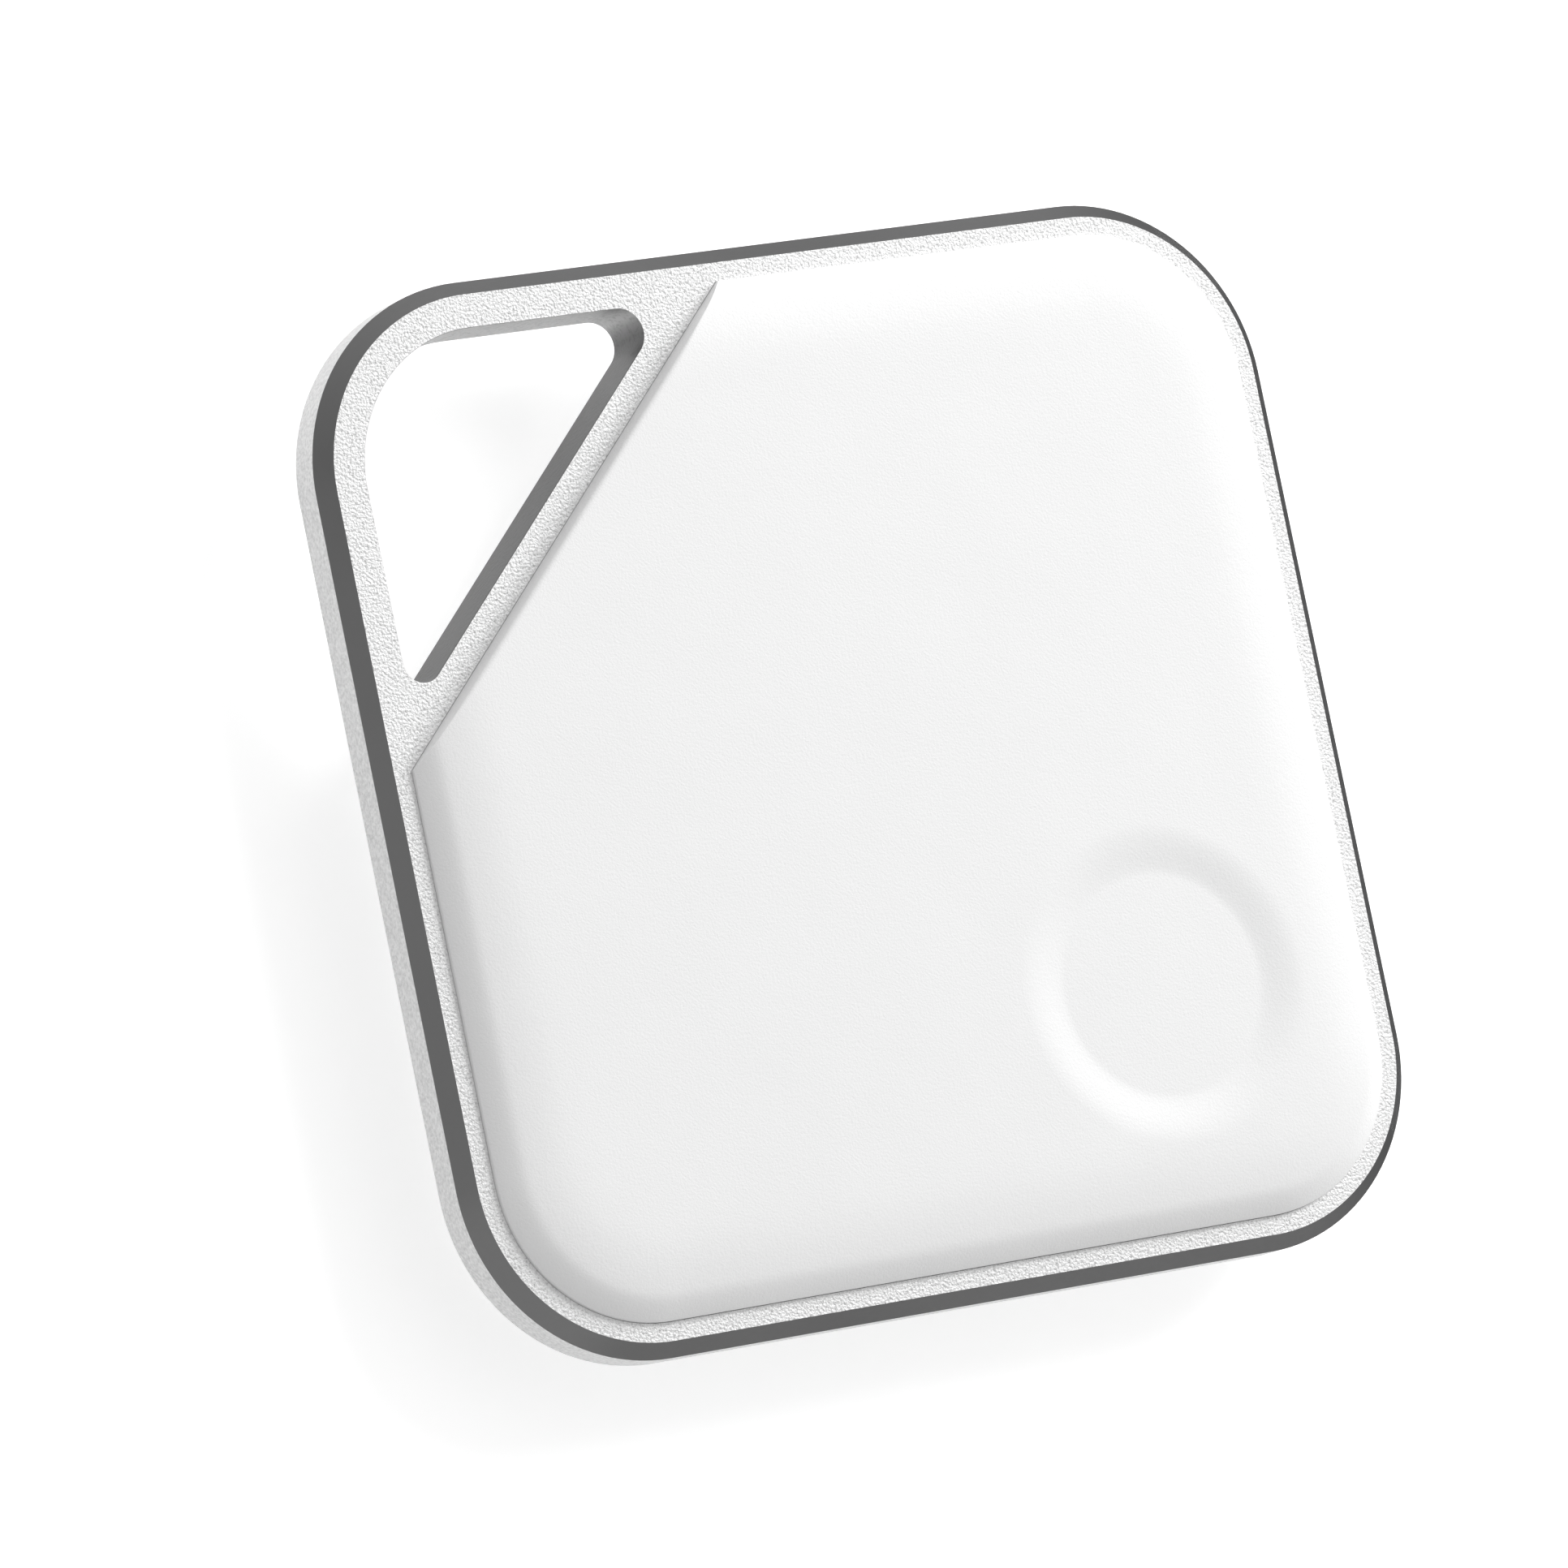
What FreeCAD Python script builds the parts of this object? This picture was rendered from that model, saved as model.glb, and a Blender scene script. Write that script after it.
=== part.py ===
import FreeCAD, Part
import math
import os
import Sketcher
from FreeCAD import Vector

# Bluetooth tracker tag, lying on its back.  Millimetres.  X runs to the right and Y towards the
# keyring corner's edge as seen from the front, Z points out of the front face, and the origin is
# under the middle of the square, on the plane that the rear rests on.

SIZES = {
    # metal frame: a square ring with a keyring hole in its upper left corner
    "side": 42.0,
    "corner_radius": 7.56,
    "frame_thickness": 2.6,
    "front_bevel_inward": 0.594,
    "front_bevel_depth": 0.65,
    "rear_bevel": 0.45,
    "rim_width": 1.35,
    "ledge_width": 1.4,
    "ledge_thickness": 0.8,
    "ledge_from_front": 1.0,
    # keyring corner: distances are square to the diagonal, from the middle of the tag
    "diagonal_reach": 15.7,
    "web_width": 1.13,
    "loop_wall": 1.9,
    "loop_end_radius": 1.0,
    "loop_tip_radius": 0.8,
    # plastic covers, front and rear
    "front_rise": 1.1,
    "rear_rise": 2.8,
    "edge_roll": 1.6,
    "slant_roll": 0.5,
    "cover_fit": 0.05,
    "cover_wall": 0.75,
    "skirt_wall": 1.2,
    "floor_thickness": 1.2,
    "gasket_thickness": 0.15,
    "gasket_inset": 0.2,
    "gasket_width": 0.7,
    # push button in the corner opposite the hole
    "button_offset": 10.1,
    "button_radius": 4.4,
    "moat_radius": 5.85,
    "button_gap": 0.1,
    "button_sink": 0.1,
    "moat_depth": 0.35,
    "web_to_cover": 0.05,
    "nib_radius": 1.2,
    "press_travel": 0.2,
    "touch_gap": 0.02,
    # coin cell, standard size 2032
    "cell_radius": 10.0,
    "cell_height": 3.2,
    "cell_can_wall": 0.25,
    "cell_gasket_wall": 0.45,
    "cell_cap_radius": 8.8,
    "cell_cap_thickness": 0.25,
    "cell_step": 0.3,
    "cell_fit": 0.15,
    "cell_float": 0.05,
    "bay_wall": 0.8,
    "bay_top_gap": 0.6,
    # sliding battery door
    "door_thickness": 0.7,
    "door_margin": 0.9,
    "door_gap": 0.1,
    "tongue_width": 0.6,
    "tongue_thickness": 0.35,
    "tongue_gap": 0.05,
    "grip_length": 7.0,
    "grip_width": 0.5,
    "grip_depth": 0.25,
    "grip_pitch": 1.1,
    "grip_from_edge": 3.2,
    # circuit board and what it stands on
    "contact_height": 0.5,
    "board_thickness": 0.5,
    "board_fit": 0.3,
    "post_radius": 1.1,
    "post_inset": 4.6,
    "post_share": 0.27,
    "pin_radius": 0.5,
    "pin_fit": 0.05,
    "film_thickness": 0.05,
    "film_radius": 9.0,
    "film_window": 4.2,
    # battery contacts
    "strip_thickness": 0.15,
    "clip_width": 4.0,
    "clip_foot": 2.2,
    "clip_reach": 1.9,
    "clip_touch": 0.05,
    "leaf_radius": 3.2,
    "leaf_window": 2.0,
    "leaf_arm": 1.0,
    # tactile switch under the button
    "switch_side": 3.6,
    "switch_height": 0.45,
    "switch_floor": 0.1,
    "switch_lid": 0.1,
    "switch_well": 1.3,
    "plunger_radius": 0.7,
    "plunger_fit": 0.08,
    "plunger_spare": 0.03,
    "press_spare": 0.06,
    "dome_radius": 1.2,
    "dome_height": 0.14,
    "dome_thickness": 0.04,
    # piezo buzzer, glued inside the front cover
    "buzzer_margin": 1.0,
    "buzzer_radius": 7.5,
    "buzzer_ring_width": 0.9,
    "buzzer_ring_thickness": 0.2,
    "brass_thickness": 0.12,
    "ceramic_radius": 5.0,
    "ceramic_thickness": 0.12,
    "finger_width": 0.8,
    # parts on the board: body sizes
    "chip_side": 4.0,
    "chip_height": 0.5,
    "chip_x": 10.5,
    "chip_y": 5.0,
    "crystal_length": 2.0,
    "crystal_width": 1.6,
    "crystal_height": 0.45,
    "antenna_length": 5.0,
    "antenna_width": 1.8,
    "antenna_height": 0.6,
    "antenna_from_edge": 1.2,
    "inductor_side": 2.4,
    "inductor_height": 0.65,
    "small_length": 1.0,
    "small_width": 0.5,
    "small_height": 0.35,
    "small_pitch": 0.9,
}

doc = FreeCAD.newDocument("TrackerTag")
sheet = doc.addObject("Spreadsheet::Sheet", "Sizes")
for row, (alias, number) in enumerate(SIZES.items(), 1):
    sheet.set(f"A{row}", alias)
    sheet.set(f"B{row}", str(number))
    sheet.setAlias(f"B{row}", alias)
doc.recompute()

UP = Vector(0, 0, 1)
DIAGONAL = math.radians(45)
NODES = []


def bound(expression):
    """The expression with every size's name pointed at the sheet."""
    words = []
    word = ""
    for letter in expression + " ":
        if letter.isalnum() or letter == "_":
            word += letter
            continue
        words.append("Sizes." + word if word in SIZES else word)
        words.append(letter)
        word = ""
    return "".join(words).strip()


def value(expression):
    """The number that an expression gives now."""
    return float(sheet.evalExpression(bound(expression)))


def bind(thing, prop, expression):
    thing.setExpression(prop, bound(expression))


def along_diagonal(distance):
    """How far a distance along the diagonal reaches in X, or in Y."""
    return f"({distance}) * sin(45deg)"


def add(*terms):
    return " + ".join(f"({term})" for term in terms)


def less(first, *rest):
    return " - ".join(f"({term})" for term in (first, *rest))


# ---------------------------------------------------------------- levels, from the rear up
REAR_EDGE = "rear_rise"
FRONT_RIM = add("rear_rise", "frame_thickness")
TOP = add(FRONT_RIM, "front_rise")
LEDGE_TOP = less(FRONT_RIM, "ledge_from_front")
LEDGE_UNDER = less(LEDGE_TOP, "ledge_thickness")
CELL_UNDER = add("door_thickness", "cell_float")
CELL_TOP = add(CELL_UNDER, "cell_height")
BOARD_UNDER = add(CELL_TOP, "contact_height")
BOARD_TOP = add(BOARD_UNDER, "board_thickness")
COVER_UNDER = less(TOP, "cover_wall")
PLUNGER_TOP = add(BOARD_TOP, "switch_height", "press_travel", "press_spare")

# ---------------------------------------------------------------- outlines, from the middle out
HALF = "side / 2"
COVER_HALF = less(HALF, "rim_width")
COVER_RADIUS = less("corner_radius", "rim_width")
OPEN_HALF = less(COVER_HALF, "ledge_width")
OPEN_RADIUS = less(COVER_RADIUS, "ledge_width")
OPEN_REACH = less("diagonal_reach", "ledge_width")
BOARD_HALF = less(OPEN_HALF, "board_fit")
BOARD_RADIUS = less(OPEN_RADIUS, "board_fit")
BOARD_REACH = less(OPEN_REACH, "board_fit")


# ---------------------------------------------------------------- sketches
def new_body(name):
    return doc.addObject("PartDesign::Body", name)


def plane(body, role):
    return next(item for item in body.Origin.OriginFeatures if item.Role == role)


def new_sketch(body, name, level):
    sketch = body.newObject("Sketcher::SketchObject", name)
    sketch.AttachmentSupport = [(plane(body, "XY_Plane"), "")]
    sketch.MapMode = "FlatFace"
    bind(sketch, "AttachmentOffset.Base.z", level)
    return sketch


def dimension(sketch, name, kind, *where, size):
    index = sketch.addConstraint(Sketcher.Constraint(kind, *where, value(size)))
    sketch.renameConstraint(index, name)
    bind(sketch, f"Constraints.{name}", size)


def arc(x, y, radius, start):
    circle = Part.Circle(Vector(x, y, 0), UP, radius)
    return Part.ArcOfCircle(circle, math.radians(start), math.radians(start + 90))


def segment(x1, y1, x2, y2):
    return Part.LineSegment(Vector(x1, y1, 0), Vector(x2, y2, 0))


def rule(sketch, kind, *where):
    sketch.addConstraint(Sketcher.Constraint(kind, *where))


def square_sketch(body, name, level, half, radius):
    """A square with four equal round corners, centred on the origin."""
    sketch = new_sketch(body, name, level)
    size, bend = value(half), value(radius)
    mid = size - bend
    sketch.addGeometry([
        segment(-mid, -size, mid, -size), arc(mid, -mid, bend, 270),
        segment(size, -mid, size, mid), arc(mid, mid, bend, 0),
        segment(mid, size, -mid, size), arc(-mid, mid, bend, 90),
        segment(-size, mid, -size, -mid), arc(-mid, -mid, bend, 180),
    ], False)
    for item in range(8):
        rule(sketch, "Tangent", item, 2, (item + 1) % 8, 1)
    for item in (3, 5, 7):
        rule(sketch, "Equal", 1, item)
    frame_rules(sketch, half, radius, left=6)
    return sketch


def frame_rules(sketch, half, radius, left):
    """Sides parallel to the axes and at one distance from the origin."""
    rule(sketch, "Horizontal", 0)
    rule(sketch, "Vertical", 2)
    rule(sketch, "Horizontal", 4)
    rule(sketch, "Vertical", left)
    dimension(sketch, "bend", "Radius", 1, size=radius)
    dimension(sketch, "right", "DistanceX", -1, 1, 2, 1, size=half)
    dimension(sketch, "left", "DistanceX", left, 1, -1, 1, size=half)
    dimension(sketch, "top", "DistanceY", -1, 1, 4, 1, size=half)
    dimension(sketch, "bottom", "DistanceY", 0, 1, -1, 1, size=half)


def notched_sketch(body, name, level, half, radius, reach):
    """The square with its upper left corner cut off along the diagonal."""
    sketch = new_sketch(body, name, level)
    size, bend = value(half), value(radius)
    mid = size - bend
    rise = value(reach) / math.sin(DIAGONAL)
    sketch.addGeometry([
        segment(-mid, -size, mid, -size), arc(mid, -mid, bend, 270),
        segment(size, -mid, size, mid), arc(mid, mid, bend, 0),
        segment(mid, size, size - rise, size),
        segment(-size, rise - size, size - rise, size),
        segment(-size, rise - size, -size, -mid), arc(-mid, -mid, bend, 180),
    ], False)
    for first, second in ((0, 1), (1, 2), (2, 3), (3, 4), (6, 7), (7, 0)):
        rule(sketch, "Tangent", first, 2, second, 1)
    rule(sketch, "Coincident", 4, 2, 5, 2)
    rule(sketch, "Coincident", 5, 1, 6, 1)
    for item in (3, 7):
        rule(sketch, "Equal", 1, item)
    frame_rules(sketch, half, radius, left=6)
    rule(sketch, "Angle", 5, DIAGONAL)
    dimension(sketch, "reach", "Distance", -1, 1, 5, size=reach)
    return sketch


def loop_sketch(body, name, level):
    """The keyring hole: a triangle with one large and two small round corners."""
    half = less(HALF, "loop_wall")
    radius = less("corner_radius", "loop_wall")
    reach = add("diagonal_reach", "web_width")
    sketch = new_sketch(body, name, level)
    size, bend = value(half), value(radius)
    mid = size - bend
    end, tip = value("loop_end_radius"), value("loop_tip_radius")
    rise = value(reach) / math.sin(DIAGONAL)
    lean = math.tan(DIAGONAL / 2)
    spread = 1 / math.sin(DIAGONAL)
    end_x, end_y = size - rise - end / lean, size - end
    tip_x, tip_y = -size + tip, rise - size + tip / lean
    sketch.addGeometry([
        segment(end_x, size, -mid, size), arc(-mid, mid, bend, 90),
        segment(-size, mid, -size, tip_y),
        Part.ArcOfCircle(Part.Circle(Vector(tip_x, tip_y, 0), UP, tip), math.pi, 7 * DIAGONAL),
        segment(tip_x + tip / spread, tip_y - tip / spread,
                end_x + end / spread, end_y - end / spread),
        Part.ArcOfCircle(Part.Circle(Vector(end_x, end_y, 0), UP, end), -DIAGONAL, 2 * DIAGONAL),
    ], False)
    for item in range(6):
        rule(sketch, "Tangent", item, 2, (item + 1) % 6, 1)
    rule(sketch, "Horizontal", 0)
    rule(sketch, "Vertical", 2)
    rule(sketch, "Angle", 4, DIAGONAL)
    dimension(sketch, "bend", "Radius", 1, size=radius)
    dimension(sketch, "tip", "Radius", 3, size="loop_tip_radius")
    dimension(sketch, "end", "Radius", 5, size="loop_end_radius")
    dimension(sketch, "left", "DistanceX", 2, 1, -1, 1, size=half)
    dimension(sketch, "top", "DistanceY", -1, 1, 0, 1, size=half)
    dimension(sketch, "reach", "Distance", -1, 1, 4, size=reach)
    return sketch


def pad(body, sketch, length):
    feature = body.newObject("PartDesign::Pad", sketch.Name + "Pad")
    feature.Profile = sketch
    bind(feature, "Length", length)
    sketch.Visibility = False
    doc.recompute()
    return feature


def pocket(body, sketch, depth, upward):
    """Cut from the sketch's level up or down, and make sure that it took something away."""
    before = body.Shape.Volume
    feature = body.newObject("PartDesign::Pocket", sketch.Name + "Pocket")
    feature.Profile = sketch
    feature.Reversed = upward
    bind(feature, "Length", depth)
    sketch.Visibility = False
    doc.recompute()
    if not body.Shape.Volume < before:
        raise RuntimeError(feature.Name + " cuts nothing")
    return feature


def edges_at(shape, level, keep=None):
    """The edges that lie wholly at one level, and that keep accepts if it is given."""
    names = []
    for index, edge in enumerate(shape.Edges, 1):
        box = edge.BoundBox
        flat = abs(box.ZMin - level) < 1e-6 and abs(box.ZMax - level) < 1e-6
        if flat and (keep is None or keep(edge)):
            names.append(f"Edge{index}")
    return names


def on_diagonal(edge):
    """True for the straight edge that runs along the keyring corner's diagonal."""
    run = edge.valueAt(edge.LastParameter) - edge.valueAt(edge.FirstParameter)
    slanted = abs(abs(run.x) - abs(run.y)) < 1e-6
    return slanted and edge.Curve.TypeId == "Part::GeomLine"


def roll_edges(body, block, level):
    """Round a cover's outer edge at one level: softly all round, tighter along the diagonal."""
    soft = body.newObject("PartDesign::Fillet", block.Name + "Roll")
    soft.Base = (block, edges_at(block.Shape, level, lambda edge: not on_diagonal(edge)))
    bind(soft, "Radius", "edge_roll")
    doc.recompute()
    tight = body.newObject("PartDesign::Fillet", block.Name + "SlantRoll")
    tight.Base = (soft, edges_at(soft.Shape, level, on_diagonal))
    bind(tight, "Radius", "slant_roll")
    doc.recompute()


# ---------------------------------------------------------------- primitives and booleans
def place(thing, x, y, z):
    bind(thing, "Placement.Base.x", x)
    bind(thing, "Placement.Base.y", y)
    bind(thing, "Placement.Base.z", z)
    return thing


def box(name, x, y, z, length, width, height):
    """A block centred on x and y that stands on z."""
    thing = doc.addObject("Part::Box", name)
    bind(thing, "Length", length)
    bind(thing, "Width", width)
    bind(thing, "Height", height)
    return place(thing, less(x, f"({length}) / 2"), less(y, f"({width}) / 2"), z)


def cylinder(name, x, y, z, radius, height):
    thing = doc.addObject("Part::Cylinder", name)
    bind(thing, "Radius", radius)
    bind(thing, "Height", height)
    return place(thing, x, y, z)


def cone(name, x, y, z, radius_below, radius_above, height):
    thing = doc.addObject("Part::Cone", name)
    bind(thing, "Radius1", radius_below)
    bind(thing, "Radius2", radius_above)
    bind(thing, "Height", height)
    return place(thing, x, y, z)


def fuse(name, *things):
    if len(things) == 1:
        return things[0]
    joined = doc.addObject("Part::MultiFuse", name)
    joined.Shapes = list(things)
    joined.Refine = True
    doc.recompute()
    return joined


def cut(name, base, *tools):
    result = doc.addObject("Part::Cut", name)
    result.Base = base
    result.Tool = fuse(name + "Tools", *tools)
    result.Refine = True
    doc.recompute()
    return result


def common(name, first, second):
    result = doc.addObject("Part::Common", name)
    result.Base = first
    result.Tool = second
    doc.recompute()
    return result


def group(name, *things):
    """Separate solids that share one node."""
    result = doc.addObject("Part::Compound", name)
    result.Links = list(things)
    doc.recompute()
    return result


def node(label, thing):
    thing.Label = label
    NODES.append(thing)
    return thing


# ---------------------------------------------------------------- metal frame
def frame():
    body = new_body("Frame")
    outer = square_sketch(body, "FrameOutline", REAR_EDGE, HALF, "corner_radius")
    block = pad(body, outer, "frame_thickness")
    front = body.newObject("PartDesign::Chamfer", "FrontBevel")
    front.Base = (block, edges_at(block.Shape, value(FRONT_RIM)))
    front.ChamferType = "Two distances"
    bind(front, "Size", "front_bevel_depth")
    bind(front, "Size2", "front_bevel_inward")
    doc.recompute()
    rear = body.newObject("PartDesign::Chamfer", "RearBevel")
    rear.Base = (front, edges_at(front.Shape, value(REAR_EDGE)))
    bind(rear, "Size", "rear_bevel")
    doc.recompute()
    fit_half = add(COVER_HALF, "cover_fit")
    fit_radius = add(COVER_RADIUS, "cover_fit")
    fit_reach = add("diagonal_reach", "cover_fit")
    seat = notched_sketch(body, "FrontSeat", FRONT_RIM, fit_half, fit_radius, fit_reach)
    pocket(body, seat, "ledge_from_front", upward=False)
    seat = notched_sketch(body, "RearSeat", REAR_EDGE, fit_half, fit_radius, fit_reach)
    pocket(body, seat, less(LEDGE_UNDER, REAR_EDGE), upward=True)
    window = notched_sketch(body, "Window", REAR_EDGE, OPEN_HALF, OPEN_RADIUS, OPEN_REACH)
    pocket(body, window, "frame_thickness", upward=True)
    pocket(body, loop_sketch(body, "KeyringHole", REAR_EDGE), "frame_thickness", upward=True)
    node("frame", body)


def ring(name, level):
    """A thin adhesive gasket that lies on the ledge under a cover's skirt."""
    body = new_body(name)
    outer = (less(COVER_HALF, "gasket_inset"), less(COVER_RADIUS, "gasket_inset"),
             less("diagonal_reach", "gasket_inset"))
    inner = tuple(less(item, "gasket_width") for item in outer)
    pad(body, notched_sketch(body, name + "Outer", level, *outer), "gasket_thickness")
    hollow = notched_sketch(body, name + "Inner", level, *inner)
    pocket(body, hollow, "gasket_thickness", upward=True)
    return body


# ---------------------------------------------------------------- front cover and button
BUTTON = ("button_offset", "-button_offset")


def front_cover():
    body = new_body("FrontShell")
    foot = add(LEDGE_TOP, "gasket_thickness")
    outline = notched_sketch(body, "FrontOutline", foot, COVER_HALF, COVER_RADIUS, "diagonal_reach")
    block = pad(body, outline, less(TOP, foot))
    roll_edges(body, block, value(TOP))
    inner = tuple(less(item, "skirt_wall") for item in (COVER_HALF, COVER_RADIUS, "diagonal_reach"))
    hollow = notched_sketch(body, "FrontHollow", foot, *inner)
    pocket(body, hollow, less(COVER_UNDER, foot), upward=True)
    well = cylinder("ButtonWell", *BUTTON, foot, add("moat_radius", "web_to_cover"), less(TOP, foot))
    node("front_cover", cut("FrontCover", body, well))


def button_web():
    """The soft ring round the button: a dished annulus, lowest at its middle."""
    outer = cylinder("WebOuter", *BUTTON, COVER_UNDER, "moat_radius", less(TOP, COVER_UNDER))
    eye = cylinder("WebEye", *BUTTON, COVER_UNDER, add("button_radius", "button_gap"),
                   less(TOP, COVER_UNDER))
    middle = "(moat_radius + button_radius + button_gap) / 2"
    floor = less(TOP, "moat_depth")
    dish_out = cone("DishOut", *BUTTON, floor, middle, "moat_radius", "moat_depth")
    lip = add("button_radius", "button_gap")
    dish_in = cone("DishIn", *BUTTON, floor, middle, lip, "moat_depth")
    slab = cylinder("DishSlab", *BUTTON, floor, "moat_radius", "moat_depth")
    mound = common("DishMound", dish_out, slab)
    core = cut("DishCore", mound, dish_in)
    node("button_web", cut("ButtonWeb", cut("WebRing", outer, eye), core))


def button_pad():
    top = less(TOP, "button_sink")
    disc = cylinder("PadDisc", *BUTTON, COVER_UNDER, "button_radius", less(top, COVER_UNDER))
    under = add(PLUNGER_TOP, "touch_gap")
    nib = cylinder("PadNib", *BUTTON, under, "nib_radius", less(COVER_UNDER, under))
    node("button_pad", fuse("ButtonPad", disc, nib))


# ---------------------------------------------------------------- rear cover and battery door
def slot_prism(name, half, level, height):
    """A flat U: straight sides that run off the lower edge, and a round end about the cell."""
    straight = box(name + "Sides", "0", f"-({HALF}) / 2", level, f"2 * ({half})", HALF, height)
    bend = cylinder(name + "End", "0", "0", level, half, height)
    return fuse(name, straight, bend)


def rear_block(name):
    """The rear cover's full outer shape, before it is hollowed."""
    body = new_body(name)
    outline = notched_sketch(body, name + "Outline", "0", COVER_HALF, COVER_RADIUS, "diagonal_reach")
    block = pad(body, outline, less(LEDGE_UNDER, "gasket_thickness"))
    roll_edges(body, block, 0)
    return body


DOOR_HALF = add("cell_radius", "door_margin")
TONGUE_HALF = add(DOOR_HALF, "tongue_width")
TONGUE_UNDER = less("door_thickness", "tongue_thickness")
WELL_RADIUS = add("cell_radius", "cell_fit")


def corners():
    """Where the board's posts stand: three corners, and one between the cell's bay and the frame."""
    out = less(COVER_HALF, "post_inset")
    room = less(OPEN_REACH, WELL_RADIUS)
    slant = along_diagonal(add(WELL_RADIUS, f"post_share * ({room})"))
    return [(out, out), (out, f"-({out})"), (f"-({out})", f"-({out})"), (f"-({slant})", slant)]


def rear_cover():
    body = rear_block("RearShell")
    inner = tuple(less(item, "skirt_wall") for item in (COVER_HALF, COVER_RADIUS, "diagonal_reach"))
    hollow = notched_sketch(body, "RearHollow", "floor_thickness", *inner)
    top = less(LEDGE_UNDER, "gasket_thickness")
    pocket(body, hollow, less(top, "floor_thickness"), upward=True)
    bay = cylinder("BayOuter", "0", "0", "floor_thickness",
                   add(WELL_RADIUS, "bay_wall"),
                   less(CELL_TOP, "bay_top_gap", "floor_thickness"))
    posts = []
    for number, (x, y) in enumerate(corners(), 1):
        posts.append(cylinder(f"Post{number}", x, y, "floor_thickness", "post_radius",
                              less(BOARD_UNDER, "floor_thickness")))
        posts.append(cylinder(f"Pin{number}", x, y, "floor_thickness", "pin_radius",
                              less(BOARD_TOP, "floor_thickness")))
    solid = fuse("RearSolid", body, bay, *posts)
    well = cylinder("CellWell", "0", "0", "0", WELL_RADIUS, BOARD_UNDER)
    mouth = slot_prism("DoorMouth", add(DOOR_HALF, "door_gap"), "0",
                       add("door_thickness", "tongue_gap"))
    groove = slot_prism("DoorGroove", add(TONGUE_HALF, "door_gap"),
                        less(TONGUE_UNDER, "tongue_gap"),
                        add("tongue_thickness", "tongue_gap", "tongue_gap"))
    clip = box("ClipSlot", "-cell_radius - bay_wall", "0", "floor_thickness",
               "3 * bay_wall", add("clip_width", "door_gap", "door_gap"),
               less(CELL_TOP, "floor_thickness"))
    node("rear_cover", cut("RearCover", solid, well, mouth, groove, clip))


def battery_door():
    plate = slot_prism("DoorPlate", DOOR_HALF, "0", "door_thickness")
    tongue = slot_prism("DoorTongue", TONGUE_HALF, TONGUE_UNDER, "tongue_thickness")
    blank = common("DoorBlank", fuse("DoorSolid", plate, tongue), rear_block("DoorEdge"))
    ribs = []
    for number in range(4):
        y = add(f"-({COVER_HALF})", "grip_from_edge", f"grip_pitch * {number}")
        ribs.append(box(f"Grip{number + 1}", "0", y, "0", "grip_length", "grip_width", "grip_depth"))
    node("battery_door", cut("BatteryDoor", blank, *ribs))


# ---------------------------------------------------------------- coin cell
def coin_cell():
    inner = less("cell_radius", "cell_can_wall")
    can_height = less("cell_height", "cell_step")
    base = add(CELL_UNDER, "cell_can_wall")
    can = cylinder("CanOuter", "0", "0", CELL_UNDER, "cell_radius", can_height)
    hollow = cylinder("CanHollow", "0", "0", base, inner, can_height)
    node("coin_cell_can", cut("CellCan", can, hollow))
    seal_inner = less(inner, "cell_gasket_wall")
    seal_height = less(can_height, "cell_can_wall")
    seal = cylinder("SealOuter", "0", "0", base, inner, seal_height)
    eye = cylinder("SealEye", "0", "0", base, seal_inner, seal_height)
    node("coin_cell_gasket", cut("CellGasket", seal, eye))
    cap = cylinder("CapDisc", "0", "0", less(CELL_TOP, "cell_cap_thickness"),
                   "cell_cap_radius", "cell_cap_thickness")
    node("coin_cell_cap", cap)
    core = cylinder("CellCore", "0", "0", base, "cell_cap_radius",
                    less("cell_height", "cell_can_wall", "cell_cap_thickness"))
    node("coin_cell_core", core)


# ---------------------------------------------------------------- circuit board and contacts
def circuit_board():
    body = new_body("Board")
    outline = notched_sketch(body, "BoardOutline", BOARD_UNDER, BOARD_HALF, BOARD_RADIUS, BOARD_REACH)
    pad(body, outline, "board_thickness")
    holes = [cylinder(f"PinHole{number}", x, y, BOARD_UNDER, add("pin_radius", "pin_fit"),
                      "board_thickness") for number, (x, y) in enumerate(corners(), 1)]
    node("circuit_board", cut("CircuitBoard", body, *holes))


def insulating_film():
    level = less(BOARD_UNDER, "film_thickness")
    disc = cylinder("FilmDisc", "0", "0", level, "film_radius", "film_thickness")
    window = cylinder("FilmWindow", "0", "0", level, "film_window", "film_thickness")
    node("insulating_film", cut("InsulatingFilm", disc, window))


def positive_contact():
    """An angled strip: its foot is soldered under the board and its leg rubs the can's side."""
    inner = add("cell_radius", "clip_touch")
    foot = box("ClipFoot", f"-({inner}) - clip_foot / 2", "0", less(BOARD_UNDER, "strip_thickness"),
               "clip_foot", "clip_width", "strip_thickness")
    leg_height = less(BOARD_UNDER, CELL_TOP, "-clip_reach")
    leg = box("ClipLeg", f"-({inner}) - strip_thickness / 2", "0", less(BOARD_UNDER, leg_height),
              "strip_thickness", "clip_width", leg_height)
    node("positive_contact", fuse("PositiveContact", foot, leg))


def negative_contact():
    """A ring soldered under the board, with three arms that reach down to the cell's cap."""
    level = less(BOARD_UNDER, "strip_thickness")
    disc = cylinder("LeafDisc", "0", "0", level, "leaf_radius", "strip_thickness")
    window = cylinder("LeafWindow", "0", "0", level, "leaf_window", "strip_thickness")
    parts = [cut("LeafRing", disc, window)]
    drop = less(BOARD_UNDER, CELL_TOP, "touch_gap")
    for number in range(3):
        turn = f"{number * 120}deg"
        reach = add("leaf_window", "leaf_arm / 4")
        x, y = f"({reach}) * cos({turn})", f"({reach}) * sin({turn})"
        parts.append(cylinder(f"LeafArm{number + 1}", x, y, add(CELL_TOP, "touch_gap"),
                              "leaf_arm / 2", drop))
    node("negative_contact", fuse("NegativeContact", *parts))


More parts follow.
